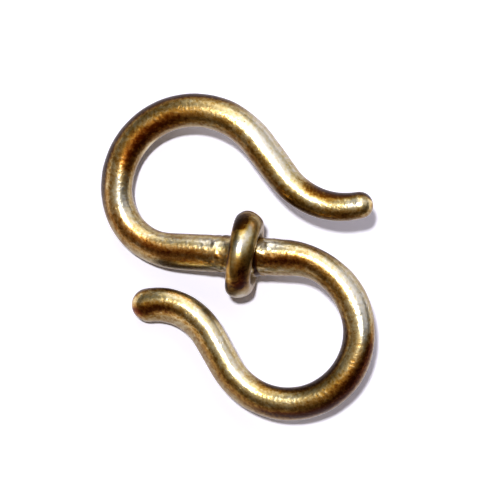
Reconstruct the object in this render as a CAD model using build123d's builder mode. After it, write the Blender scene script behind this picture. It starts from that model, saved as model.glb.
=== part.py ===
from build123d import *
import os
from math import acos, asin, cos, degrees, radians

# An S hook clasp for jewelry: one round brass wire bent into an S, with a small
# closed ring gripping the middle of its bar. It is modelled as it lies on a table,
# propped on the ring, the left bend of the upper loop and the blunt tip.
# Millimetres and degrees. X runs along the bar, +Z is up, and the table is at Z = 0.

# The wire of the S, measured across. It thins a little along each straight arm.
wire_diameter = 2.05
arm_diameter = 1.96
slim_tip_diameter = 1.5
blunt_tip_diameter = 2.15

# The bar, which swells towards the ring's seat. Both reaches start at the ring's centre.
seat_diameter = 2.25
seat_length = 2.2
bar_reach_left = 4.65
bar_reach_right = 2.93

# The upper loop, from the bar's left end round to the slim tip.
left_bend_radius = 3.83
left_bend_angle = 91.5
crown_radius = 5.1
crown_angle = 138.6
upper_arm_length = 2.65
upper_curl_radius = 4.8
upper_curl_angle = 37.2
slim_taper_angle = 30.0

# The lower loop, from the bar's right end round to the blunt tip.
lower_loop_radius = 4.57
lower_loop_angle = 237.1
lower_arm_length = 2.3
lower_curl_radius = 3.77
lower_curl_angle = 39.0
blunt_swell_angle = 30.0

# The ring, a round wire closed on the seat, which presses its bore a little flat, and
# soldered there askew. The clearance, which the solder fills, lets it stand askew.
ring_wire_diameter = 1.6
bore_flattening = 0.05
seat_clearance = 0.1
ring_lean = 7.0
ring_twist = 8.0

os.makedirs("parts", exist_ok=True)


def upper_half(plane):
    """Centre line of the upper half, from the seat to the slim tip, one edge a stretch."""
    with BuildLine(plane):
        bar = Line((-seat_length / 2, 0), (-bar_reach_left, 0))
        bend = JernArc(bar @ 1, bar % 1, left_bend_radius, -left_bend_angle)
        crown = JernArc(bend @ 1, bend % 1, crown_radius, -crown_angle)
        arm = Line(crown @ 1, crown @ 1 + crown % 1 * upper_arm_length)
        curl = JernArc(arm @ 1, arm % 1, upper_curl_radius, upper_curl_angle)
        taper = JernArc(curl @ 1, curl % 1, upper_curl_radius, slim_taper_angle)
    return [bar, bend, crown, arm, curl, taper]


def lower_half(plane):
    """Centre line of the lower half, from the seat to the blunt tip, one edge a stretch."""
    with BuildLine(plane):
        bar = Line((seat_length / 2, 0), (bar_reach_right, 0))
        loop = JernArc(bar @ 1, bar % 1, lower_loop_radius, -lower_loop_angle)
        arm = Line(loop @ 1, loop @ 1 + loop % 1 * lower_arm_length)
        curl = JernArc(arm @ 1, arm % 1, lower_curl_radius, lower_curl_angle)
        swell = JernArc(curl @ 1, curl % 1, lower_curl_radius, blunt_swell_angle)
    return [bar, loop, arm, curl, swell]


bore_radius = seat_diameter / 2 + seat_clearance
ring_radius = bore_radius - bore_flattening + ring_wire_diameter / 2

# The hook lies on the ring, the left bend and the blunt tip, and leans up to the right.
# The heights of these three above the table give the direction of the lean in the
# hook's own plane, and then its angle.
ring_height = ring_radius * cos(radians(ring_lean)) + ring_wire_diameter / 2
bend_rise = ring_height - wire_diameter / 2
tip_rise = ring_height - blunt_tip_diameter / 2
bend_centre = Vector(-bar_reach_left, left_bend_radius)
blunt_tip = lower_half(Plane.XY)[-1] @ 1
bend_to_tip = bend_centre - blunt_tip * (bend_rise / tip_rise)
swing = degrees(acos(left_bend_radius / bend_to_tip.length))
uphill = bend_to_tip.normalized().rotate(Axis.Z, -swing)
lean = degrees(asin(tip_rise / -blunt_tip.dot(uphill)))


def hook_plane(x, y):
    """Plane of the S, leaned about the ring's centre, which stands over the point x, y."""
    lean_axis = Axis((0, 0, 0), Vector(0, 0, 1).cross(uphill))
    along_bar = Vector(1, 0, 0).rotate(lean_axis, -lean)
    upright = Vector(0, 0, 1).rotate(lean_axis, -lean)
    return Plane(origin=(x, y, ring_height), x_dir=along_bar, z_dir=upright)


# The part's origin is on the table, under the middle of its outline seen from above.
draft = hook_plane(0, 0)
middle = Compound(children=upper_half(draft) + lower_half(draft)).bounding_box().center()
plane = hook_plane(-middle.X, -middle.Y)
upper = upper_half(plane)
lower = lower_half(plane)
seat = Line(upper[0] @ 0, lower[0] @ 0)

# Each stretch of the wire, with its diameters at the start and the end.
upper_diameters = [seat_diameter] + 3 * [wire_diameter] + 2 * [arm_diameter] + [slim_tip_diameter]
lower_diameters = [seat_diameter] + 2 * [wire_diameter] + 2 * [arm_diameter] + [blunt_tip_diameter]
stretches = [(seat, seat_diameter, seat_diameter)]
stretches += zip(upper, upper_diameters, upper_diameters[1:])
stretches += zip(lower, lower_diameters, lower_diameters[1:])

with BuildPart() as s_wire:
    for line, start_diameter, end_diameter in stretches:
        with BuildSketch(Plane(origin=line @ 0, z_dir=line % 0)):
            Circle(start_diameter / 2)
        with BuildSketch(Plane(origin=line @ 1, z_dir=line % 1)):
            Circle(end_diameter / 2)
        sweep(path=line, multisection=True)
    # Half a ball rounds off each end of the wire.
    for line, diameter in ((upper[-1], slim_tip_diameter), (lower[-1], blunt_tip_diameter)):
        with BuildSketch(Plane(origin=line @ 1, x_dir=line % 1, z_dir=plane.z_dir)):
            with BuildLine():
                arc = CenterArc((0, 0), diameter / 2, 0, 90)
                Polyline(arc @ 1, (0, 0), arc @ 0)
            make_face()
        revolve(axis=Axis(line @ 1, line % 1))

s_wire.part.label = "s_wire"
export_step(s_wire.part, "parts/s_wire.step")

# The ring's axis rises from the table by its lean, and turns from the bar by its twist.
ring_axis = Vector(1, 0, 0).rotate(Axis.Y, -ring_lean).rotate(Axis.Z, -ring_twist)
ring_section = Plane(origin=plane.origin, x_dir=ring_axis, z_dir=ring_axis.cross(Vector(0, 0, 1)))

with BuildPart() as centre_ring:
    with BuildSketch(ring_section):
        with Locations((0, ring_radius)):
            Circle(ring_wire_diameter / 2)
        Rectangle(ring_wire_diameter, 2 * bore_radius, mode=Mode.SUBTRACT)
    revolve(axis=Axis(plane.origin, ring_axis))

centre_ring.part.label = "centre_ring"
export_step(centre_ring.part, "parts/centre_ring.step")
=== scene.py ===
"""Looks of an S hook clasp: one round brass wire bent into an S, and the small ring on its bar.

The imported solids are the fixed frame. The wire and the ring are made again here as fine
surfaces, with the grain, dents and solder that the solids leave out, and dressed in antique
brass. Lengths inside the classes are millimetres, and the meshes are metres.
"""

import logging
import math
from dataclasses import dataclass, field
from enum import Enum

import bpy
import numpy as np
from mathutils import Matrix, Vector


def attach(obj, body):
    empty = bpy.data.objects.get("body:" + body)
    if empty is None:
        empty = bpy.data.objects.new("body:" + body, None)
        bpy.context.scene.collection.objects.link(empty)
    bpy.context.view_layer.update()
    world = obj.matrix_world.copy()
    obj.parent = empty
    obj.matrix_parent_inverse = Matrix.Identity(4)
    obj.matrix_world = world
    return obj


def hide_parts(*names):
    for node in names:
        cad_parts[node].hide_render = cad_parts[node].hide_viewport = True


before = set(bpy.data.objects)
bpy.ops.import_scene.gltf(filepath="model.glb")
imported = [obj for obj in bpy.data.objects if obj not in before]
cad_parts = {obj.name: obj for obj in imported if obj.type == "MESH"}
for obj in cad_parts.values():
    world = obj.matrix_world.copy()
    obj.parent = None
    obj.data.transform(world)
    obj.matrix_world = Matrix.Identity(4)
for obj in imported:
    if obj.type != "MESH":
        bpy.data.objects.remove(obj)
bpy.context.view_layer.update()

log = logging.getLogger("hook")

MM = 0.001
# Widths from its middle beyond which a bell curve counts as nothing.
BELL_REACH = 3


class Slot(Enum):
    """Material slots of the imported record."""

    WIRE = "antique_brass_wire"
    RING = "ring_brass"


@dataclass(frozen=True)
class Waves:
    """A band of unevenness: many flat waves in space with seeded directions and phases.

    Attributes:
        length: Usual distance from crest to crest, in mm.
        height: Usual height of the sum, in mm.
        seed: Seed of the directions and phases.
        count: Number of waves.
    """

    length: float
    height: float
    seed: int
    count: int = 28

    def at(self, points: np.ndarray) -> np.ndarray:
        """Height of the band at each point.

        The height is the sum over the waves of the sine of the point's distance along the
        wave's direction, times its wave number, plus its phase, scaled to the usual height.

        Args:
            points: Points in mm, with the three coordinates on the last axis.

        Returns:
            One height a point, in mm.
        """
        rng = np.random.default_rng(self.seed)
        directions = rng.normal(size=(self.count, 3))
        directions /= np.linalg.norm(directions, axis=1, keepdims=True)
        numbers = 2 * math.pi / (self.length * rng.uniform(0.7, 1.5, self.count))
        phases = rng.uniform(0, 2 * math.pi, self.count)
        total = np.sin(points @ (directions * numbers[:, None]).T + phases).sum(axis=-1)
        return self.height * total * math.sqrt(2 / self.count)


def smooth_step(value: np.ndarray, low: float, high: float) -> np.ndarray:
    """Zero below low, one above high, and the cubic 3t squared less 2t cubed between them."""
    t = np.clip((value - low) / (high - low), 0, 1)
    return t * t * (3 - 2 * t)


def bell(value: np.ndarray, centre: float, width: float) -> np.ndarray:
    """Bell curve: e to the minus square of the distance from the centre over the width."""
    return np.exp(-(((value - centre) / width) ** 2))


def unit(vectors: np.ndarray) -> np.ndarray:
    """Vectors divided by their own lengths."""
    return vectors / np.linalg.norm(vectors, axis=-1, keepdims=True)


def turned(vector: np.ndarray, axis: np.ndarray, angle: float) -> np.ndarray:
    """Vector turned about a unit axis through the origin, by the rotation formula.

    Args:
        vector: The vector to turn.
        axis: Unit vector of the axis.
        angle: Angle in degrees, right-handed.

    Returns:
        The vector times the cosine, plus the axis crossed with it times the sine, plus the
        axis times their dot product times one less the cosine.
    """
    c, s = math.cos(math.radians(angle)), math.sin(math.radians(angle))
    return vector * c + np.cross(axis, vector) * s + axis * (axis @ vector) * (1 - c)


def closed_tube(name: str, grid: np.ndarray, poles: np.ndarray | None = None) -> bpy.types.Object:
    """Mesh object from a grid of rings of points.

    Point (i, j) is joined to (i + 1, j) and (i, j + 1). The second index wraps round. The
    first wraps too, as on a torus, unless two poles are given: then each pole closes an end
    with a fan of triangles.

    Args:
        name: Name of the object.
        grid: Points in mm, rings by points round a ring by 3.
        poles: The point beyond the first ring and the point beyond the last, or None.

    Returns:
        The linked object, at the origin, with smooth faces that point outwards.
    """
    rings, around, _ = grid.shape
    last = rings if poles is None else rings - 1
    i, j = np.meshgrid(np.arange(last), np.arange(around), indexing="ij")
    next_i, next_j = (i + 1) % rings, (j + 1) % around
    corners = (i * around + j, next_i * around + j, next_i * around + next_j, i * around + next_j)
    quads = np.stack(corners, axis=-1).reshape(-1, 4)
    points = grid.reshape(-1, 3)
    loops = quads.ravel()
    totals = np.full(len(quads), 4)
    if poles is not None:
        here, after = np.arange(around), (np.arange(around) + 1) % around
        first_pole, last_pole, base = len(points), len(points) + 1, (rings - 1) * around
        start_fan = np.stack([np.full(around, first_pole), here, after], axis=-1)
        end_fan = np.stack([np.full(around, last_pole), base + after, base + here], axis=-1)
        points = np.concatenate([points, poles])
        loops = np.concatenate([loops, start_fan.ravel(), end_fan.ravel()])
        totals = np.concatenate([totals, np.full(2 * around, 3)])
    starts = np.concatenate([[0], np.cumsum(totals)[:-1]])
    mesh = bpy.data.meshes.new(name)
    mesh.vertices.add(len(points))
    mesh.loops.add(len(loops))
    mesh.polygons.add(len(totals))
    mesh.vertices.foreach_set("co", (points * MM).astype(np.float32).ravel())
    mesh.loops.foreach_set("vertex_index", loops.astype(np.int32))
    mesh.polygons.foreach_set("loop_start", starts.astype(np.int32))
    mesh.polygons.foreach_set("loop_total", totals.astype(np.int32))
    mesh.polygons.foreach_set("use_smooth", np.ones(len(totals), dtype=bool))
    mesh.update(calc_edges=True)
    mesh.validate()
    piece = bpy.data.objects.new(name, mesh)
    bpy.context.scene.collection.objects.link(piece)
    return piece


def point_mask(piece: bpy.types.Object, name: str, values: np.ndarray) -> None:
    """Stores one number from 0 to 1 a point as an attribute that materials read.

    Args:
        piece: The object whose mesh gets it.
        name: Name of the attribute.
        values: One number a point of the mesh, poles last.
    """
    attribute = piece.data.attributes.new(name, "FLOAT", "POINT")
    attribute.data.foreach_set("value", np.clip(values, 0, 1).astype(np.float32).ravel())


@dataclass(frozen=True)
class HookSizes:
    """Driving sizes of the hook, in mm and degrees, the same as those of the solids.

    Each curl's angle takes in the stretch that tapers or swells to its tip.
    """

    wire_diameter: float = 2.05
    slim_tip_diameter: float = 1.5
    blunt_tip_diameter: float = 2.15
    seat_diameter: float = 2.25
    bar_reach_left: float = 4.65
    bar_reach_right: float = 2.93
    left_bend_radius: float = 3.83
    left_bend_angle: float = 91.5
    crown_radius: float = 5.1
    crown_angle: float = 138.6
    upper_arm_length: float = 2.65
    upper_curl_radius: float = 4.8
    upper_curl_angle: float = 67.2
    lower_loop_radius: float = 4.57
    lower_loop_angle: float = 237.1
    lower_arm_length: float = 2.3
    lower_curl_radius: float = 3.77
    lower_curl_angle: float = 69.0
    ring_wire_diameter: float = 1.6
    bore_flattening: float = 0.05
    seat_clearance: float = 0.1
    ring_lean: float = 7.0
    ring_twist: float = 8.0

    @property
    def ring_radius(self) -> float:
        """Radius of the circle along the middle of the ring's wire."""
        bore = self.seat_diameter / 2 + self.seat_clearance
        return bore - self.bore_flattening + self.ring_wire_diameter / 2

    @property
    def ring_height(self) -> float:
        """Height of the ring's centre above the table."""
        upright = self.ring_radius * math.cos(math.radians(self.ring_lean))
        return upright + self.ring_wire_diameter / 2


@dataclass
class CentreLine:
    """Centre line of the bent wire, from the slim tip to the blunt tip.

    Attributes:
        sizes: The hook's sizes.
        step: Distance between the points that the line is summed from, in mm.
        easing: Length over which one bend eases into the next, in mm.
        tail: How far the line runs on past the dome centre of each tip, in mm.
    """

    sizes: HookSizes
    step: float = 0.02
    easing: float = 0.45
    tail: float = 3.0
    run: np.ndarray = field(init=False)
    flat: np.ndarray = field(init=False)
    ring_at: float = field(init=False)
    length: float = field(init=False)
    marks: dict[str, float] = field(init=False)

    def __post_init__(self) -> None:
        """Sums the line.

        The heading grows evenly along each bend and stays along each straight, and a bell
        curve eases it. The line is the running sum of the heading's cosine and sine, from
        the ring's centre, in the hook's own plane, and its heading along the bar is 0.
        """
        z = self.sizes
        # Name, radius of a bend or length of a straight, and turn to the left in degrees.
        stretches = [
            ("curl", z.upper_curl_radius, -z.upper_curl_angle),
            ("arm", z.upper_arm_length, 0.0),
            ("crown", z.crown_radius, z.crown_angle),
            ("left_bend", z.left_bend_radius, z.left_bend_angle),
            ("bar", z.bar_reach_left + z.bar_reach_right, 0.0),
            ("loop", z.lower_loop_radius, -z.lower_loop_angle),
            ("lower_arm", z.lower_arm_length, 0.0),
            ("lower_curl", z.lower_curl_radius, z.lower_curl_angle),
        ]
        lengths = [size * math.radians(abs(turn)) if turn else size for _, size, turn in stretches]
        ends = np.concatenate([[0], np.cumsum(lengths)])
        headings = np.radians(np.concatenate([[0], np.cumsum([turn for *_, turn in stretches])]))
        names = [name for name, *_ in stretches]
        self.marks = dict(zip(names, ends))
        self.length = float(ends[-1])
        self.ring_at = self.marks["bar"] + z.bar_reach_left
        self.run = np.arange(-self.tail, self.length + self.tail, self.step)
        heading = np.interp(self.run, ends, headings - headings[names.index("bar")])
        reach = int(BELL_REACH * self.easing / self.step)
        weights = bell(np.arange(-reach, reach + 1) * self.step, 0, self.easing)
        padded = np.pad(heading, reach, mode="edge")
        heading = np.convolve(padded, weights / weights.sum(), mode="valid")
        speed = np.stack([np.cos(heading), np.sin(heading)], axis=-1)
        line = np.cumsum((speed[1:] + speed[:-1]) / 2 * self.step, axis=0)
        line = np.concatenate([[[0, 0]], line])
        middle = np.array([np.interp(self.ring_at, self.run, line[:, k]) for k in (0, 1)])
        self.flat = line - middle

    def at(self, run: np.ndarray) -> np.ndarray:
        """Points of the line in the hook's own plane, at distances from the slim tip."""
        return np.stack([np.interp(run, self.run, self.flat[:, k]) for k in (0, 1)], axis=-1)


@dataclass
class HookPose:
    """How the hook lies on the table, propped on the ring, the left bend and the blunt tip.

    Attributes:
        sizes: The hook's sizes.
        line: Its centre line.
    """

    sizes: HookSizes
    line: CentreLine
    along: np.ndarray = field(init=False)
    across: np.ndarray = field(init=False)
    upright: np.ndarray = field(init=False)
    origin: np.ndarray = field(init=False)

    def __post_init__(self) -> None:
        """Finds the lean from the heights of the three props, and centres the outline.

        The lean's direction is where the drop from the ring to the bend and the drop from
        the ring to the blunt tip are both met, and its angle is the arcsine of the tip's
        drop over its distance down that direction.
        """
        z = self.sizes
        bend_rise = z.ring_height - z.wire_diameter / 2
        tip_rise = z.ring_height - z.blunt_tip_diameter / 2
        bend_centre = np.array([-z.bar_reach_left, z.left_bend_radius])
        blunt_tip = self.line.at(np.array([self.line.length]))[0]
        bend_to_tip = bend_centre - blunt_tip * (bend_rise / tip_rise)
        swing = math.acos(z.left_bend_radius / np.linalg.norm(bend_to_tip))
        heading = math.atan2(bend_to_tip[1], bend_to_tip[0]) - swing
        uphill = np.array([math.cos(heading), math.sin(heading), 0])
        lean = math.degrees(math.asin(tip_rise / -(blunt_tip @ uphill[:2])))
        axis = np.cross([0, 0, 1], uphill)
        self.along = turned(np.array([1.0, 0, 0]), axis, -lean)
        self.across = turned(np.array([0, 1.0, 0]), axis, -lean)
        self.upright = turned(np.array([0, 0, 1.0]), axis, -lean)
        self.origin = np.array([0, 0, z.ring_height])
        inside = (self.line.run >= 0) & (self.line.run <= self.line.length)
        spread = self.place(self.line.flat[inside])[:, :2]
        self.origin[:2] = -(spread.min(axis=0) + spread.max(axis=0)) / 2

    def place(self, flat: np.ndarray) -> np.ndarray:
        """Points of the hook's own plane, put where the hook lies: origin plus x and y shares."""
        return self.origin + flat[..., :1] * self.along + flat[..., 1:] * self.across


def facing(towards: float, tilt: float) -> np.ndarray:
    """Direction tilted from straight up towards a side, both in degrees.

    Args:
        towards: The side as seen from above, 0 for right, 90 for back and 180 for left.
        tilt: Degrees from straight up.

    Returns:
        The tilt's sine times the side's cosine and sine, and the tilt's cosine.
    """
    side, lean = math.radians(towards), math.radians(tilt)
    return np.array([math.sin(lean) * math.cos(side), math.sin(lean) * math.sin(side), math.cos(lean)])


@dataclass(frozen=True)
class Patch:
    """A place on a wire worn bright by hands, darkened by tarnish, or painted with light or shade.

    Attributes:
        place: Distance of its middle along the wire, in mm.
        reach: Distance along the wire over which it fades, in mm.
        towards: The side that it faces as seen from above, 0 for right and 90 for back.
        tilt: How far down that side it lies, in degrees from straight up.
        spread: Degrees round the wire over which it fades.
        wear_and_light: What it adds to the tone, as wear or a painted highlight, and less than 0 as
            tarnish or painted shade.
        red: How red its film is, from 0 to 1.
        dull_and_shade: What it adds to the matt film on the flanks and the shade painted there, less
            than 0 where that is worn off.
    """

    place: float
    reach: float
    towards: float
    tilt: float
    spread: float
    wear_and_light: float = 0.0
    red: float = 0.0
    dull_and_shade: float = 0.0

    def cover(self, run: np.ndarray, spoke: np.ndarray) -> np.ndarray:
        """Share of the patch at each point.

        It is a bell curve of the distance along the wire, times a bell curve of the angle
        between the outward direction and the patch's own.

        Args:
            run: Distances of the rings of points along the wire.
            spoke: Outward unit vectors, rings by points round a ring by 3.

        Returns:
            Shares from 0 to 1, rings by points round a ring.
        """
        away = np.degrees(np.arccos(np.clip(spoke @ facing(self.towards, self.tilt), -1, 1)))
        return bell(run, self.place, self.reach)[:, None] * bell(away, 0, self.spread)


@dataclass(frozen=True)
class Oval:
    """A stretch where the wire's section is slightly oval, with its crest off the middle.

    Attributes:
        place: Distance of its middle from the slim tip, in mm.
        reach: Distance along the wire over which it fades, in mm.
        towards: The side that its crest leans to as seen from above, as for a patch.
        bulge: How far it bulges there, in mm.
    """

    place: float
    reach: float
    towards: float
    bulge: float

    def rise(self, run: np.ndarray, outward: np.ndarray, angle: np.ndarray) -> np.ndarray:
        """Height that it adds to a round section.

        It is the bulge, times how far the section's own sideways direction points towards
        the crest's side, times a bell curve of the distance along the wire, times the sine
        of twice the angle round the wire.

        Args:
            run: Distances of the rings of points along the wire.
            outward: Sideways unit vector of each ring, in the hook's plane.
            angle: Angles of the points round a ring, from that direction.

        Returns:
            Heights in mm, rings by points round a ring.
        """
        leaning = outward @ facing(self.towards, 90) * bell(run, self.place, self.reach)
        return self.bulge * leaning[:, None] * np.sin(2 * angle)


@dataclass(frozen=True)
class Solder:
    """Lumpy solder on both sides of the ring.

    Attributes:
        height: Height of the fillet's crest, in mm.
        place: Distance of that crest from the ring's middle, in mm.
        width: Width of the fillet's bell curve, in mm.
        lumpiness: How much the lumps raise and lower the fillet, as a share of their height.
        spill_height: Height of the drops that ran out along the bar, in mm.
        spill_place: Distance of the middle of the drops from the ring's middle, in mm.
        spill_width: Width of their bell curve, in mm.
        lumps: The lumps, whose height is a share of the solder's and not mm.
    """

    height: float = 0.13
    place: float = 0.55
    width: float = 0.34
    lumpiness: float = 0.5
    spill_height: float = 0.05
    spill_place: float = 1.4
    spill_width: float = 1.0
    lumps: Waves = Waves(length=0.55, height=0.5, seed=21)

    def at(self, points: np.ndarray, from_ring: np.ndarray) -> np.ndarray:
        """Height of the solder above the wire.

        The fillet is a bell curve of the distance from the ring, times one plus a share of
        the lumps. The drops are where the lumps rise above nought, under a wider bell curve.

        Args:
            points: Points of the wire, in mm.
            from_ring: Their distances from the ring's middle along the wire, in mm.

        Returns:
            One height a point, in mm.
        """
        lumps = self.lumps.at(points)
        fillet = self.height * bell(from_ring, self.place, self.width) * (1 + self.lumpiness * lumps)
        drops = self.spill_height * smooth_step(lumps, 0.0, 1.0)
        return fillet + drops * bell(from_ring, self.spill_place, self.spill_width)


def patched(
    patches: tuple[Patch, ...], base: float, run: np.ndarray, spoke: np.ndarray
) -> dict[str, np.ndarray]:
    """Masks of a wire's wear and painted light: its tone, its red film and the film on its flanks.

    Each is the sum of what the patches give, which paint highlights and shade as well as wear.
    The film on the flanks also grows where the surface turns steep, and most on the sides that
    face back and left, away from the lamps: that growth is painted shade.

    Args:
        patches: The patches.
        base: The tone where there is no patch.
        run: Distances of the rings of points along the wire.
        spoke: Outward unit vectors, rings by points round a ring by 3.

    Returns:
        One value a point for each mask, by the name that the materials read.
    """
    covers = [patch.cover(run, spoke) for patch in patches]
    # Painted shade: steep sides, and most those that face back and left, get a lower tone and more
    # flank film.
    gentle, sheer, back_left = 0.9, 0.5, 130
    steep = smooth_step(-spoke[..., 2], -gentle, -sheer)
    shaded = steep * smooth_step(spoke @ facing(back_left, 90), 0.1, 0.7)
    # The tone holds worn and tarnished places and the painted highlights and shade of the patches.
    tone_and_painted_light = base + sum(patch.wear_and_light * cover for patch, cover in zip(patches, covers))
    red = sum(patch.red * cover for patch, cover in zip(patches, covers))
    dull_and_shade = sum(patch.dull_and_shade * cover for patch, cover in zip(patches, covers))
    return {
        "tone_and_painted_light": tone_and_painted_light - 0.5 * shaded,
        "reddened": red,
        "flank_film_and_shade": 0.7 * steep + 0.3 * shaded + dull_and_shade,
    }


@dataclass
class BrassWire:
    """The bent wire of the S, with its swells, ovals, dents and solder.

    Attributes:
        sizes: The hook's sizes.
        line: Its centre line.
        pose: How it lies.
        rings: Rings of points along the wire.
        around: Points round each ring.
        tip_rings: Rings of points on each rounded tip.
        dents: The unevenness of the surface.
        patches: Where it is worn or tarnished, and where highlights, shade and reflections are
            painted.
        ovals: Where its section is not quite round.
        round_seat: Distances from the ring's middle where the ovals start and are full, in mm.
        solder: The solder beside the ring.
        tone: Its tone where there is no patch, from 0 for tarnish to 1 for bright.
        crease_shade_at: Distance of the shade painted in the crevice right of the ring, from the
            ring's middle, in mm.
        crease_shade_width: Width of that painted shade's bell curve, in mm.
        filed_back: How much the slim tip was filed off, in mm.
        tip_growth: How fast the unevenness grows from nothing at a tip's pole.
    """

    sizes: HookSizes
    line: CentreLine
    pose: HookPose
    rings: int = 1300
    around: int = 68
    tip_rings: int = 22
    dents: tuple[Waves, ...] = (
        Waves(length=5.0, height=0.012, seed=3),
        Waves(length=1.5, height=0.0035, seed=5),
        Waves(length=0.36, height=0.0009, seed=8),
    )
    # Many of these paint highlights, shade, dark edge lines and the floor's reflection into the tone
    # and film, along with worn and tarnished places.
    patches: tuple[Patch, ...] = (
        # Slim tip and upper curl.
        # Painted highlight: the white spot near the slim tip.
        Patch(0.3, 0.7, 80, 14, 24, wear_and_light=0.7),
        Patch(2.6, 2.0, 260, 5, 16, wear_and_light=0.45),
        Patch(2.6, 1.3, 90, 27, 10, wear_and_light=-0.4),
        Patch(1.8, 1.3, 90, 56, 22, wear_and_light=-0.6, red=0.2),
        Patch(3.4, 1.2, 80, 42, 20, wear_and_light=-0.4),
        Patch(1.2, 1.2, 270, 40, 26, wear_and_light=-0.25, red=0.3),
        Patch(3.6, 2.0, 270, 45, 26, wear_and_light=-0.2),
        # Upper arm and the start of the crown.
        Patch(8.0, 5.0, 45, 8, 20, wear_and_light=0.5),
        Patch(8.5, 5.0, 45, 50, 34, wear_and_light=0.35, dull_and_shade=-0.1),
        Patch(8.0, 5.0, 225, 45, 28, wear_and_light=-0.2, red=0.3),
        # Crown.
        Patch(15.0, 3.6, 315, 24, 30, wear_and_light=-0.6, red=1.0),
        Patch(15.0, 4.6, 315, 72, 10, wear_and_light=0.3, dull_and_shade=-0.5),
        Patch(17.8, 2.0, 0, 22, 22, wear_and_light=-0.4, red=0.7),
        Patch(20.3, 1.5, 10, 10, 18, wear_and_light=0.35),
        Patch(18.2, 2.0, 200, 4, 20, wear_and_light=-0.05),
        # Left bend.
        Patch(21.8, 2.6, 45, 12, 24, wear_and_light=0.5),
        Patch(21.8, 3.0, 225, 35, 28, wear_and_light=-0.2, red=0.5),
        # Bar, and the bends where it ends.
        Patch(27.5, 4.6, 90, 44, 30, wear_and_light=0.35),
        Patch(26.4, 3.8, 270, 6, 24, wear_and_light=-0.45, red=1.0),
        Patch(26.4, 4.0, 270, 36, 11, wear_and_light=-0.7, red=0.7),
        Patch(29.2, 1.3, 90, 36, 30, wear_and_light=0.3, dull_and_shade=-0.3),
        Patch(33.0, 1.2, 90, 36, 32, wear_and_light=0.45, dull_and_shade=-0.4),
        Patch(28.0, 4.0, 90, 46, 15, wear_and_light=0.1, dull_and_shade=-0.5),
        Patch(34.6, 2.6, 90, 56, 15, dull_and_shade=-0.2),
        # Painted reflection of the floor: a light line along the bar's lower edge.
        Patch(30.8, 6.0, 270, 55, 9, wear_and_light=0.9, dull_and_shade=-1.0),
        Patch(33.6, 2.6, 90, 40, 24, wear_and_light=0.3),
        Patch(34.0, 2.6, 270, 10, 24, wear_and_light=-0.5, red=0.9),
        # Lower loop.
        Patch(38.6, 3.0, 45, 25, 34, wear_and_light=0.5),
        Patch(39.0, 4.0, 225, 35, 28, wear_and_light=-0.15, red=0.3),
        Patch(41.2, 1.5, 350, 12, 18, wear_and_light=0.4),
        Patch(42.8, 1.6, 355, 40, 16, wear_and_light=-0.8, red=0.7, dull_and_shade=0.3),
        Patch(44.2, 1.9, 325, 36, 22, wear_and_light=-0.5, red=0.8, dull_and_shade=0.5),
        Patch(45.2, 3.2, 310, 5, 20, wear_and_light=-0.26, red=0.3),
        Patch(46.8, 2.4, 290, 50, 22, wear_and_light=-0.6, red=0.6, dull_and_shade=0.7),
        Patch(49.2, 2.0, 265, 46, 22, wear_and_light=-0.4, red=0.3, dull_and_shade=0.4),
        Patch(48.0, 2.6, 110, 14, 18, wear_and_light=0.2),
        # Lower arm and the start of its curl.
        Patch(54.2, 3.8, 45, 22, 24, wear_and_light=0.4),
        Patch(55.6, 3.6, 45, 52, 20, wear_and_light=0.1, dull_and_shade=-0.3),
        Patch(53.4, 4.6, 225, 36, 24, wear_and_light=-0.3, red=0.1),
        Patch(55.0, 4.0, 45, 2, 12, wear_and_light=0.1),
        # Lower curl and blunt tip.
        # Painted dark line along the lower curl's outer edge.
        Patch(57.4, 1.8, 45, 80, 17, wear_and_light=-1.0, dull_and_shade=1.0),
        Patch(58.8, 1.8, 250, 8, 20, wear_and_light=-0.45, red=0.4),
        Patch(60.4, 2.8, 85, 42, 26, wear_and_light=0.35, dull_and_shade=-0.9),
        # Painted dark line along the blunt tip's upper edge.
        Patch(61.0, 2.4, 90, 88, 9, wear_and_light=-1.0, dull_and_shade=1.0),
        Patch(60.8, 2.0, 270, 24, 24, wear_and_light=-0.35, red=0.6),
    )
    ovals: tuple[Oval, ...] = (
        Oval(20.4, 1.8, 10, bulge=0.16),
        Oval(27.0, 4.0, 90, bulge=0.18),
        Oval(34.2, 2.6, 90, bulge=0.17),
        Oval(41.4, 1.6, 0, bulge=0.1),
        Oval(48.6, 2.4, 90, bulge=0.12),
        Oval(51.6, 1.8, 60, bulge=0.1),
        Oval(55.4, 2.8, 45, bulge=0.2),
        Oval(58.8, 1.6, 75, bulge=0.16),
    )
    round_seat: tuple[float, float] = (0.2, 0.8)
    solder: Solder = Solder()
    tone: float = 0.46
    crease_shade_at: float = 0.88
    crease_shade_width: float = 0.12
    filed_back: float = 0.15
    tip_growth: float = 1.6

    def diameters(self, run: np.ndarray) -> np.ndarray:
        """Wire's thickness along the line.

        It runs evenly from each place to the next, and the mean over five small shifts
        along the wire rounds the corners.

        Args:
            run: Distances from the slim tip's dome centre, in mm.

        Returns:
            Diameters in mm.
        """
        z, mark, ring_at = self.sizes, self.line.marks, self.line.ring_at
        end = self.line.length
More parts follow.
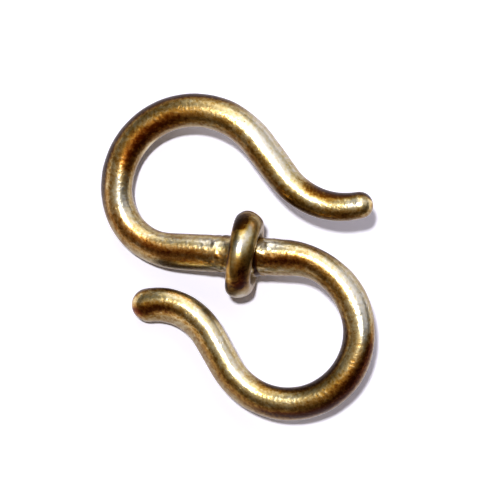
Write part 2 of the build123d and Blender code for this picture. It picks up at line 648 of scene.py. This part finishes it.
        # Distance from the slim tip and thickness, judged from the picture.
        places = [
            (0.0, z.slim_tip_diameter + 0.12),
            (0.9, 1.76),
            (2.2, 1.8),
            (3.6, 1.88),
            (mark["arm"] + 0.5, 2.0),
            (mark["crown"], z.wire_diameter),
            (mark["crown"] + 5.0, 2.12),
            (mark["left_bend"] + 1.0, z.wire_diameter),
            (mark["bar"] - 1.5, 2.08),
            (ring_at - 4.4, 2.2),
            (ring_at - 2.6, 2.27),
            (ring_at - 1.4, 2.32),
            (ring_at, z.seat_diameter),
            (ring_at + 1.4, 2.3),
            (ring_at + 2.6, 2.2),
            (ring_at + 4.4, 2.0),
            (ring_at + 7.4, 1.97),
            (ring_at + 10.2, 2.05),
            (ring_at + 16.5, 2.08),
            (mark["lower_arm"], 2.06),
            (mark["lower_curl"] + 1.2, 2.15),
            (end - 1.6, 2.1),
            (end, z.blunt_tip_diameter - 0.06),
        ]
        at, sizes = np.array(places).T
        fine = np.interp(run, at, sizes)
        near = [np.interp(run + shift, at, sizes) for shift in (-0.5, -0.25, 0.25, 0.5)]
        return (fine + sum(near)) / (1 + len(near))

    def tip_radii(self) -> np.ndarray:
        """Radii of the slim tip's dome and of the blunt tip's, in mm."""
        return self.diameters(np.array([0.0, self.line.length])) / 2

    def stations(self) -> tuple[np.ndarray, np.ndarray]:
        """Distances along the line of the rings, and the share of the wire's radius there.

        On a tip, the distance past the dome's centre is the radius times the cosine of an
        angle that runs from 0 at the pole to a right angle, and the share is its sine.

        Returns:
            Distances in mm, and shares from 0 to 1, both without the poles.
        """
        angles = np.linspace(0, math.pi / 2, self.tip_rings + 1)[1:-1]
        slim, blunt = self.tip_radii()
        start, end = self.filed_back, self.line.length
        body = np.linspace(start, end, self.rings)
        run = [start - slim * np.cos(angles), body, end + blunt * np.cos(angles[::-1])]
        share = [np.sin(angles), np.ones(self.rings), np.sin(angles[::-1])]
        return np.concatenate(run), np.concatenate(share)

    def surface(self, run: np.ndarray, share: np.ndarray) -> tuple[np.ndarray, np.ndarray]:
        """Carries a circle of the wire's radius along the line and roughens it.

        Each point is the line's point plus the radius times the cosine of the angle round
        the wire in the hook's plane, and times its sine along the plane's normal. The dents,
        the solder and the ovals are added outwards, fading towards the poles of the tips,
        and what would sink into the table is flattened.

        Args:
            run: Distances of the rings of points along the line.
            share: The share of the wire's radius at each ring.

        Returns:
            Points in mm and outward unit vectors, both rings by points round a ring by 3.
        """
        step = self.line.step
        heading = unit(self.line.at(run + step) - self.line.at(run - step))
        side = np.stack([heading[:, 1], -heading[:, 0]], axis=-1)
        centre = self.pose.place(self.line.at(run))
        outward = self.pose.place(side) - self.pose.origin
        angle = np.linspace(0, 2 * math.pi, self.around, endpoint=False)
        spoke = np.cos(angle)[None, :, None] * outward[:, None] + (
            np.sin(angle)[None, :, None] * self.pose.upright
        )
        radius = (self.diameters(np.clip(run, 0, self.line.length)) / 2 * share)[:, None, None]
        grid = centre[:, None] + spoke * radius
        rough = sum(band.at(grid) for band in self.dents)
        from_ring = np.abs(run - self.line.ring_at)[:, None]
        rough += self.solder.at(grid, from_ring)
        clear = smooth_step(from_ring, *self.round_seat)
        for oval in self.ovals:
            rough += oval.rise(run, outward, angle) * clear
        grid += spoke * (rough * np.minimum(1, share * self.tip_growth)[:, None])[..., None]
        grid[..., 2] = np.maximum(grid[..., 2], 0.0)
        return grid, spoke

    def masks(self, run: np.ndarray, spoke: np.ndarray) -> dict[str, np.ndarray]:
        """Masks of the wire's wear and painted light, with painted shade in the crevice right of the
        ring.

        Args:
            run: Distances of the rings of points along the line.
            spoke: Outward unit vectors, rings by points round a ring by 3.

        Returns:
            One value a point for each mask, by the name that the materials read.
        """
        masks = patched(self.patches, self.tone, run, spoke)
        # Painted shade of the crevice beside the ring: a band to its right, all round the wire, lowers
        # the tone and adds flank film.
        crease_shade = bell(run - self.line.ring_at, self.crease_shade_at, self.crease_shade_width)[:, None]
        masks["tone_and_painted_light"] = masks["tone_and_painted_light"] - crease_shade
        masks["flank_film_and_shade"] = masks["flank_film_and_shade"] + crease_shade
        return masks

    def build(self) -> bpy.types.Object:
        """Makes the wire's mesh and stores its masks.

        The points are taken backwards round the wire, so that the faces point outwards. A
        pole lies a dome's radius past the dome's centre, and its masks are its ring's mean.

        Returns:
            The wire's object.
        """
        run, share = self.stations()
        grid, spoke = self.surface(run, share)
        slim, blunt = self.tip_radii()
        ends = np.array([self.filed_back - slim, self.line.length + blunt])
        piece = closed_tube("wire_s", grid[:, ::-1], self.pose.place(self.line.at(ends)))
        for name, values in self.masks(run, spoke[:, ::-1]).items():
            poles = [values[0].mean(), values[-1].mean()]
            point_mask(piece, name, np.concatenate([values.ravel(), poles]))
        return piece


@dataclass
class CentreRing:
    """The small closed ring round the middle of the bar.

    Attributes:
        sizes: The hook's sizes.
        pose: How the hook lies.
        rings: Sections round the ring.
        around: Points round each section.
        dents: The unevenness of the surface.
        patches: Where it is worn or tarnished, and where highlights, shade and reflections are
            painted, by the distance round its middle line.
        tone: Its tone where there is no patch, from 0 for tarnish to 1 for bright.
        flattened: How far its outside is pressed flat, in mm.
        crest_shift: How far its crest is pressed off to the left, in mm.
        oval: How far the ring is pressed out of round, in mm.
        worn: How much wear took off all round, in mm.
        lump_at: Turn of the lump where it was closed, in degrees from the front over the top.
        lump_width: Width of the lump's bell curve, in radians.
        lump_height: Height of the lump, in mm.
        seam_at: Turn of the notch across that lump, in the same degrees.
        seam_width: Width of the notch's bell curve, in radians.
        seam_depth: Depth of the notch, in mm.
    """

    sizes: HookSizes
    pose: HookPose
    rings: int = 300
    around: int = 84
    dents: tuple[Waves, ...] = (
        Waves(length=2.6, height=0.010, seed=31),
        Waves(length=0.8, height=0.0012, seed=34),
    )
    # These paint the ring's highlight and its streak, dark reflections, a dark arc and a pale lip that
    # reflects the floor, along with its tarnish.
    patches: tuple[Patch, ...] = (
        # Back half, the upper one in the picture.
        Patch(3.6, 0.55, 150, 16, 34, wear_and_light=0.7),
        Patch(4.3, 0.8, 60, 42, 26, wear_and_light=0.5, dull_and_shade=-0.6),
        Patch(4.7, 0.5, 105, 38, 16, wear_and_light=-0.8),
        Patch(4.2, 0.8, 170, 72, 28, wear_and_light=0.4, dull_and_shade=-0.7),
        Patch(5.7, 1.0, 90, 75, 34, wear_and_light=0.4, dull_and_shade=-0.9),
        # Front half, the lower one in the picture.
        Patch(1.7, 1.1, 310, 30, 34, wear_and_light=-0.4, red=1.0),
        Patch(2.2, 1.2, 195, 40, 34, wear_and_light=0.05, red=0.3, dull_and_shade=-0.7),
        Patch(1.6, 1.3, 185, 78, 24, wear_and_light=0.25, dull_and_shade=-0.9),
        Patch(1.45, 0.2, 285, 50, 36, wear_and_light=-0.9, red=0.6),
        Patch(1.15, 0.3, 185, 70, 40, wear_and_light=-0.5, red=0.3, dull_and_shade=0.6),
        Patch(0.5, 0.45, 290, 70, 40, wear_and_light=0.5),
    )

    tone: float = 0.36
    flattened: float = 0.05
    crest_shift: float = 0.07
    oval: float = 0.07
    worn: float = 0.02
    lump_at: float = 160.0
    lump_width: float = 0.4
    lump_height: float = 0.09
    seam_at: float = 166.0
    seam_width: float = 0.045
    seam_depth: float = 0.1

    def build(self) -> bpy.types.Object:
        """Turns a round section, pressed flat at the bore, about the ring's leaning axis.

        Each point is the ring's centre, plus the outward direction times the ring's radius
        and the section's cosine, plus the axis times the section's sine. The cosine share
        stops at the bore. The cosine and sine of twice the section's angle press the outside
        a little flat, with its crest off to the left, the sine of twice the turn makes the
        ring a little oval, and a low lump with a notch across it marks where it was closed.

        Returns:
            The ring's object.
        """
        z = self.sizes
        axis = turned(np.array([1.0, 0, 0]), np.array([0, 1.0, 0]), -z.ring_lean)
        axis = turned(axis, np.array([0, 0, 1.0]), -z.ring_twist)
        level = unit(np.cross(axis, [0, 0, 1]))
        up = np.cross(level, axis)
        turn = np.linspace(0, 2 * math.pi, self.rings, endpoint=False)[:, None, None]
        section = np.linspace(0, 2 * math.pi, self.around, endpoint=False)[None, :, None]
        outward = np.cos(turn) * level + np.sin(turn) * up
        spoke = np.cos(section) * outward + np.sin(section) * axis
        wire = z.ring_wire_diameter / 2
        grid = self.pose.origin + outward * z.ring_radius + spoke * wire
        rough = sum(band.at(grid) for band in self.dents)[..., None]
        outer = smooth_step(np.cos(section), -0.3, 0.6)
        seam = bell(turn, math.radians(self.seam_at), self.seam_width) * outer
        lump = bell(turn, math.radians(self.lump_at), self.lump_width) * outer
        pressed = self.flattened * np.cos(2 * section) + self.crest_shift * np.sin(2 * section)
        pressed = pressed + self.oval * np.sin(2 * turn)
        closing = self.lump_height * lump - self.seam_depth * seam
        grid = grid + spoke * (rough + closing - self.worn - pressed * outer)
        bore = z.seat_diameter / 2 + z.seat_clearance
        depth = ((grid - self.pose.origin) * outward).sum(axis=-1, keepdims=True)
        grid = grid + outward * np.maximum(bore - depth, 0)
        grid[..., 2] = np.maximum(grid[..., 2], 0.0)
        piece = closed_tube("ring_centre", grid)
        masks = patched(self.patches, self.tone, turn.ravel() * z.ring_radius, spoke)
        masks["tone_and_painted_light"] = masks["tone_and_painted_light"] - seam[..., 0]
        for name, values in masks.items():
            point_mask(piece, name, values)
        return piece


class Sheet:
    """A node tree that is being filled, with short calls to add and join nodes."""

    def __init__(self, tree: bpy.types.NodeTree) -> None:
        """Starts on a tree, cleared of what it has."""
        self.tree = tree
        tree.nodes.clear()

    def add(self, kind: str, inputs: dict | None = None, **settings: object) -> bpy.types.Node:
        """Adds a node.

        Args:
            kind: The node's Blender type.
            inputs: Values or output sockets, by the input's name or number.
            settings: Properties of the node.

        Returns:
            The new node.
        """
        node = self.tree.nodes.new(kind)
        for name, value in settings.items():
            setattr(node, name, value)
        for name, value in (inputs or {}).items():
            if isinstance(value, bpy.types.NodeSocket):
                self.tree.links.new(value, node.inputs[name])
            else:
                node.inputs[name].default_value = value
        return node

    def math(self, operation: str, *values: object, clamp: bool = False) -> bpy.types.NodeSocket:
        """Adds a math node on numbers or sockets and returns its result."""
        inputs = dict(enumerate(values))
        return self.add("ShaderNodeMath", inputs, operation=operation, use_clamp=clamp).outputs[0]

    def mix(self, share: object, first: object, second: object) -> bpy.types.NodeSocket:
        """Adds a colour mix, first at a share of 0 and second at 1, and returns its result."""
        inputs = {0: share, 6: first, 7: second}
        return self.add("ShaderNodeMix", inputs, data_type="RGBA").outputs[2]

    def tinted(self, share: object, colour: object, film: object) -> bpy.types.NodeSocket:
        """Adds a film that multiplies a colour, none at a share of 0, and returns its result."""
        inputs = {0: share, 6: colour, 7: film}
        node = self.add("ShaderNodeMix", inputs, data_type="RGBA", blend_type="MULTIPLY")
        return node.outputs[2]

    def ramp(self, value: object, low: float, high: float) -> bpy.types.NodeSocket:
        """Adds a smooth ramp from 0 at low to 1 at high and returns its result."""
        inputs = {"Value": value, "From Min": low, "From Max": high}
        node = self.add("ShaderNodeMapRange", inputs, interpolation_type="SMOOTHSTEP")
        return node.outputs[0]

    def noise(
        self, vector: object, scale: float, detail: float, rough: float
    ) -> bpy.types.NodeSocket:
        """Adds a noise texture, its scale per mm, and returns its value."""
        inputs = {"Vector": vector, "Scale": scale, "Detail": detail, "Roughness": rough}
        return self.add("ShaderNodeTexNoise", inputs).outputs["Fac"]


@dataclass(frozen=True)
class MetalEffects:
    """The shader node group that both brasses use.

    Attributes:
        group_name: Name of the group.
        patch_scale: Patches of film to a mm.
        mottle_scale: Mottles to a mm.
        speckle_scale: Speckles to a mm.
        pit_scale: Pits to a mm, where there are pits.
        pitted_scale: Pitted places to a mm.
        pit_depth: Depth of the pits, as a share of the grain's height.
    """

    group_name: str = "brass_surface"
    patch_scale: float = 0.45
    mottle_scale: float = 2.6
    speckle_scale: float = 5.2
    pit_scale: float = 5.5
    pitted_scale: float = 2.0
    pit_depth: float = 0.7

    def build(self) -> bpy.types.NodeTree:
        """Makes the group that gives the grain at a point in mm.

        Returns:
            The group, with inputs Point, Grain Size and Pitting, and outputs Patches, Mottle,
            Speckle, Pits and Height.
        """
        group = bpy.data.node_groups.new(self.group_name, "ShaderNodeTree")
        sheet = Sheet(group)
        face = group.interface
        face.new_socket("Point", in_out="INPUT", socket_type="NodeSocketVector")
        for name, value in (("Grain Size", 1.0), ("Pitting", 0.5)):
            socket = face.new_socket(name, in_out="INPUT", socket_type="NodeSocketFloat")
            socket.default_value = value
        for name in ("Patches", "Mottle", "Speckle", "Pits", "Height"):
            face.new_socket(name, in_out="OUTPUT", socket_type="NodeSocketFloat")
        enter = sheet.add("NodeGroupInput")
        point = sheet.add(
            "ShaderNodeVectorMath",
            {0: enter.outputs["Point"], "Scale": enter.outputs["Grain Size"]},
            operation="SCALE",
        ).outputs[0]
        patches = sheet.noise(point, self.patch_scale, detail=3.0, rough=0.6)
        mottle = sheet.noise(point, self.mottle_scale, detail=3.0, rough=0.6)
        speckle = sheet.noise(point, self.speckle_scale, detail=2.0, rough=0.55)
        cells = sheet.add(
            "ShaderNodeTexVoronoi", {"Vector": point, "Scale": self.pit_scale, "Randomness": 1.0}
        ).outputs["Distance"]
        pit_shape = sheet.math("SUBTRACT", 1.0, sheet.ramp(cells, 0.05, 0.3))
        pitted = sheet.noise(point, self.pitted_scale, detail=2.0, rough=0.5)
        pit_share = sheet.ramp(pitted, 0.5, 0.68)
        pits = sheet.math("MULTIPLY", pit_shape, pit_share)
        pits = sheet.math("MULTIPLY", pits, enter.outputs["Pitting"], clamp=True)
        height = sheet.math("MULTIPLY_ADD", mottle, 0.5, sheet.math("MULTIPLY", speckle, 0.5))
        height = sheet.math("SUBTRACT", height, sheet.math("MULTIPLY", pits, self.pit_depth))
        results = {"Patches": patches, "Mottle": mottle, "Speckle": speckle}
        results.update({"Pits": pits, "Height": height})
        sheet.add("NodeGroupOutput", results)
        return group


@dataclass(frozen=True)
class Brass:
    """A brass finish between dark tarnish and rubbed metal.

    Attributes:
        name: Name of the material.
        tarnish: Colour of the darkest tarnish.
        brown: Colour of the even brown film.
        gold: Colour of the metal under a thin film.
        bright: Colour where the metal is worn bare, and where the tone holds a painted highlight.
        roughness: Roughness of the rubbed metal.
        film_roughness: Roughness added under full tarnish.
        grain_size: Scale of the grain, 1 for cast grain and more for finer.
        pitting: How pitted the surface is, from 0 to 1.
        relief: Depth of the grain, in mm.
        speckle: How much the finest grain lightens and darkens the metal.
        patchiness: How much the wide patches of film do so.
        mottle: How much the mottle does so.
        pit_shade: How much darker a pit is.
        brown_at: Tone at which the colour is brown.
        gold_at: Tone at which the colour is gold.
        red_film: Tint of the reddened film.
        flank_film_and_shade_tint: Tint of the film on the flanks, which no hand rubs, and of the shade
            painted there.
        lacquer: Share of the rubbed metal that a thin clear lacquer covers.
        lacquer_roughness: Roughness of that lacquer.
    """

    name: str
    tarnish: tuple[float, float, float]
    brown: tuple[float, float, float]
    gold: tuple[float, float, float]
    bright: tuple[float, float, float]
    roughness: float
    film_roughness: float
    grain_size: float
    pitting: float
    relief: float
    speckle: float
    patchiness: float = 0.6
    mottle: float = 0.55
    pit_shade: float = 0.5
    brown_at: float = 0.3
    gold_at: float = 0.62
    red_film: tuple[float, float, float] = (1.0, 0.34, 0.1)
    flank_film_and_shade_tint: tuple[float, float, float] = (0.2, 0.18, 0.22)
    lacquer: float = 0.65
    lacquer_roughness: float = 0.34

    def build(self, effects: bpy.types.NodeTree) -> bpy.types.Material:
        """Makes the material.

        The tone is the mask of wear with painted highlights and shade, pushed up and down by the
        patches, the mottle and the speckle, and it picks a colour along tarnish, brown, gold and
        bright.

        Args:
            effects: The shared node group.

        Returns:
            The material.
        """
        material = bpy.data.materials.new(self.name)
        material.use_nodes = True
        sheet = Sheet(material.node_tree)
        place = sheet.add("ShaderNodeTexCoord").outputs["Object"]
        point = sheet.add(
            "ShaderNodeMapping", {"Vector": place, "Scale": (1 / MM,) * 3}
        ).outputs[0]
        surface = self.place_group(sheet, effects, point)
        # The tone mask holds wear and tarnish, and painted highlights and shade.
        tone = sheet.add("ShaderNodeAttribute", attribute_name="tone_and_painted_light").outputs["Fac"]
        shares = {"Patches": self.patchiness, "Mottle": self.mottle, "Speckle": self.speckle}
        for output, share in shares.items():
            around_zero = sheet.math("SUBTRACT", surface.outputs[output], 0.5)
            tone = sheet.math("MULTIPLY_ADD", around_zero, share, tone)
        tone = sheet.math("MULTIPLY_ADD", surface.outputs["Pits"], -self.pit_shade, tone, clamp=True)
        colour = sheet.add("ShaderNodeValToRGB", {"Fac": tone})
        self.fill_ramp(colour.color_ramp)
        reddened = sheet.add("ShaderNodeAttribute", attribute_name="reddened").outputs["Fac"]
        redness = sheet.math("MULTIPLY", reddened, sheet.math("SUBTRACT", 1.0, tone), clamp=True)
        tint = sheet.tinted(redness, colour.outputs["Color"], (*self.red_film, 1.0))
        # The flank mask darkens the colour, partly as a matt film and partly as painted shade.
        flank_film_and_shade = sheet.add("ShaderNodeAttribute", attribute_name="flank_film_and_shade").outputs["Fac"]
        tint = sheet.tinted(flank_film_and_shade, tint, (*self.flank_film_and_shade_tint, 1.0))
        clean = sheet.math("MULTIPLY", tone, sheet.math("SUBTRACT", 1.0, flank_film_and_shade), clamp=True)
        coat = sheet.math("MULTIPLY", clean, self.lacquer)
        rough = sheet.math("SUBTRACT", 1.0, tone, clamp=True)
        rough = sheet.math("MULTIPLY_ADD", rough, self.film_roughness, self.roughness)
        bump = sheet.add(
            "ShaderNodeBump",
            {"Height": surface.outputs["Height"], "Distance": self.relief * MM, "Strength": 1.0},
        )
        shader = sheet.add(
            "ShaderNodeBsdfPrincipled",
            {
                "Base Color": tint,
                "Metallic": 1.0,
                "Roughness": rough,
                "Normal": bump.outputs["Normal"],
                "Coat Weight": coat,
                "Coat Roughness": self.lacquer_roughness,
            },
        )
        sheet.add("ShaderNodeOutputMaterial", {"Surface": shader.outputs[0]})
        return material

    def place_group(
        self, sheet: Sheet, effects: bpy.types.NodeTree, point: bpy.types.NodeSocket
    ) -> bpy.types.Node:
        """Puts the shared group into the material, with this finish's values."""
        node = sheet.add("ShaderNodeGroup", node_tree=effects)
        sheet.tree.links.new(point, node.inputs["Point"])
        node.inputs["Grain Size"].default_value = self.grain_size
        node.inputs["Pitting"].default_value = self.pitting
        return node

    def fill_ramp(self, ramp: bpy.types.ColorRamp) -> None:
        """Sets the four colours of the ramp from tarnish to bright."""
        middle = ((self.brown_at, self.brown), (self.gold_at, self.gold))
        stops = ((0.0, self.tarnish), *middle, (1.0, self.bright))
        ramp.elements[0].position = 0.0
        ramp.elements[1].position = 1.0
        for place, _ in stops[1:-1]:
            ramp.elements.new(place)
        for element, (_, colour) in zip(ramp.elements, stops):
            element.color = (*colour, 1.0)


@dataclass(frozen=True)
class Lamp:
    """A far soft lamp, given by where it stands in the picture seen from above.

    Attributes:
        name: Name of the lamp.
        right: Degrees from overhead towards the picture's right.
        up: Degrees from overhead towards the picture's top.
        strength: Light on a surface that faces it.
        width: Degrees that it is wide.
        colour: Its colour.
    """

    name: str
    right: float
    up: float
    strength: float
    width: float
    colour: tuple[float, float, float] = (1.0, 1.0, 1.0)


@dataclass
class Studio:
    """Floor, lamps and camera.

    Attributes:
        pose: How the hook lies, for the point that the camera looks at.
        camera_height: Height of the camera above the table, in mm.
        picture_width: Width that the picture takes in at the ring's height, in mm.
        picture_turn: Degrees that the picture is turned from the bar.
        aim: Right and up shift of the picture's middle from the ring's centre, in mm.
        floor_half: Half the floor's width, in mm.
        floor_colour: Colour of the floor.
        seen_floor_colour: The floor's colour to the camera and in reflections, above 1 so
            that the paper shows white.
        sky: Colour of the plain surroundings.
        lamps: The lamps.
        lamp_distance: Distance at which the lamps stand, in mm, which changes no light.
        clip_start: Distance from the camera at which it starts to see, in mm.
    """

    pose: HookPose
    camera_height: float = 200.0
    picture_width: float = 31.25
    picture_turn: float = 2.8
    aim: tuple[float, float] = (0.3275, 0.326)
    floor_half: float = 4000.0
    floor_colour: tuple[float, float, float] = (0.8, 0.8, 0.8)
    seen_floor_colour: tuple[float, float, float] = (1.2, 1.2, 1.36)
    sky: tuple[float, float, float] = (0.018, 0.017, 0.022)
    lamps: tuple[Lamp, ...] = (
        Lamp("key_lamp", -5.0, 9.0, 2.32, 4.0, (1.0, 0.98, 0.95)),
        Lamp("window", 14.0, 33.0, 0.27, 37.0, (0.9, 0.88, 1.0)),
        Lamp("right_panel", 44.0, 16.0, 0.15, 36.0, (0.92, 0.9, 1.0)),
        Lamp("far_panel", 46.0, 46.0, 0.2, 40.0, (0.94, 0.92, 1.0)),
        Lamp("top_panel", 0.0, 58.0, 0.56, 41.0, (1.0, 0.97, 0.97)),
        Lamp("left_fill", -50.0, -8.0, 0.12, 44.0, (0.95, 0.93, 1.0)),
        Lamp("warm_card", -8.0, -26.0, 0.125, 54.0, (1.0, 0.74, 0.46)),
    )
    lamp_distance: float = 500.0
    clip_start: float = 10.0

    def build_floor(self) -> bpy.types.Object:
        """Lays the floor, a square that is seen from above and not from below."""
        corners = np.array([[-1, -1], [1, -1], [1, 1], [-1, 1]]) * self.floor_half * MM
        points = np.concatenate([corners, np.zeros((4, 1))], axis=1)
        mesh = bpy.data.meshes.new("floor")
        mesh.from_pydata(points.tolist(), [], [(0, 1, 2, 3)])
        floor = bpy.data.objects.new("floor", mesh)
        bpy.context.scene.collection.objects.link(floor)
        material = bpy.data.materials.new("floor_paper")
        material.use_nodes = True
        sheet = Sheet(material.node_tree)
        path = sheet.add("ShaderNodeLightPath").outputs
        seen = sheet.math("MAXIMUM", path["Is Camera Ray"], path["Is Glossy Ray"])
        seen = sheet.math("MAXIMUM", seen, path["Is Transmission Ray"])
        colour = sheet.mix(seen, (*self.floor_colour, 1.0), (*self.seen_floor_colour, 1.0))
        paper = sheet.add("ShaderNodeBsdfDiffuse", {"Color": colour})
        clear = sheet.add("ShaderNodeBsdfTransparent")
        behind = sheet.add("ShaderNodeNewGeometry").outputs["Backfacing"]
        shown = sheet.add("ShaderNodeMixShader", {0: behind, 1: paper.outputs[0], 2: clear.outputs[0]})
        sheet.add("ShaderNodeOutputMaterial", {"Surface": shown.outputs[0]})
        mesh.materials.append(material)
        return floor

    def build_lamps(self) -> None:
        """Hangs the lamps and sets the plain surroundings."""
        turn = math.radians(self.picture_turn)
        right = Vector((math.cos(turn), math.sin(turn), 0))
        up = Vector((-math.sin(turn), math.cos(turn), 0))
        for lamp in self.lamps:
            light = bpy.data.lights.new(lamp.name, "SUN")
            light.energy = lamp.strength
            light.angle = math.radians(lamp.width)
            light.color = lamp.colour
            away = math.radians(math.hypot(lamp.right, lamp.up))
            level = (right * lamp.right + up * lamp.up).normalized()
            towards = level * math.sin(away) + Vector((0, 0, math.cos(away)))
            stand = bpy.data.objects.new(lamp.name, light)
            stand.rotation_euler = towards.to_track_quat("Z", "Y").to_euler()
            stand.location = towards * self.lamp_distance * MM
            bpy.context.scene.collection.objects.link(stand)
        world = bpy.data.worlds.new("surroundings")
        world.use_nodes = True
        sheet = Sheet(world.node_tree)
        plain = sheet.add("ShaderNodeBackground", {"Color": (*self.sky, 1.0), "Strength": 1.0})
        sheet.add("ShaderNodeOutputWorld", {"Surface": plain.outputs[0]})
        bpy.context.scene.world = world

    def build_camera(self) -> bpy.types.Object:
        """Stands the camera straight above, turned as the picture is."""
        turn = math.radians(self.picture_turn)
        right, up = self.aim
        x, y, ring_height = self.pose.origin
        x += right * math.cos(turn) - up * math.sin(turn)
        y += right * math.sin(turn) + up * math.cos(turn)
        data = bpy.data.cameras.new("camera")
        half = self.picture_width / 2 / (self.camera_height - ring_height)
        data.lens = data.sensor_width / 2 / half
        data.clip_start = self.clip_start * MM
        camera = bpy.data.objects.new("camera", data)
        camera.location = (x * MM, y * MM, self.camera_height * MM)
        camera.rotation_euler = (0, 0, turn)
        bpy.context.scene.collection.objects.link(camera)
        bpy.context.scene.camera = camera
        return camera


WIRE_BRASS = Brass(
    name="antique_brass",
    tarnish=(0.14, 0.045, 0.002),
    brown=(0.44, 0.24, 0.034),
    gold=(0.79, 0.64, 0.29),
    bright=(0.98, 0.94, 0.78),
    roughness=0.28,
    film_roughness=0.1,
    grain_size=1.0,
    pitting=0.8,
    relief=0.027,
    speckle=0.5,
)
RING_BRASS = Brass(
    name="ring_brass",
    tarnish=(0.09, 0.03, 0.002),
    brown=(0.5, 0.29, 0.04),
    gold=(0.7, 0.56, 0.23),
    bright=(0.97, 0.94, 0.8),
    roughness=0.27,
    film_roughness=0.1,
    grain_size=0.8,
    pitting=0.15,
    relief=0.012,
    speckle=0.3,
)


def dress(piece: bpy.types.Object, finish: bpy.types.Material, node: str) -> None:
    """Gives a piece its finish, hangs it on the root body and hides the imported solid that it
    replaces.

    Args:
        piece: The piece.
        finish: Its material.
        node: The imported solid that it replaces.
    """
    piece.data.materials.append(finish)
    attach(piece, "root")
    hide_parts(node)
    log.info("%s: %d points, %d faces", piece.name, len(piece.data.vertices), len(piece.data.polygons))


def main() -> None:
    """Builds the wire, the ring and the studio in order."""
    logging.basicConfig(level=logging.INFO, format="%(name)s: %(message)s")
    sizes = HookSizes()
    line = CentreLine(sizes)
    pose = HookPose(sizes, line)
    effects = MetalEffects().build()
    wire = BrassWire(sizes, line, pose).build()
    dress(wire, WIRE_BRASS.build(effects), "s_wire")
    ring = CentreRing(sizes, pose).build()
    dress(ring, RING_BRASS.build(effects), "centre_ring")
    studio = Studio(pose)
    studio.build_floor()
    studio.build_lamps()
    studio.build_camera()
    view = bpy.context.scene.view_settings
    view.view_transform = "Standard"
    bpy.context.view_layer.update()


if __name__ == "__main__":
    main()
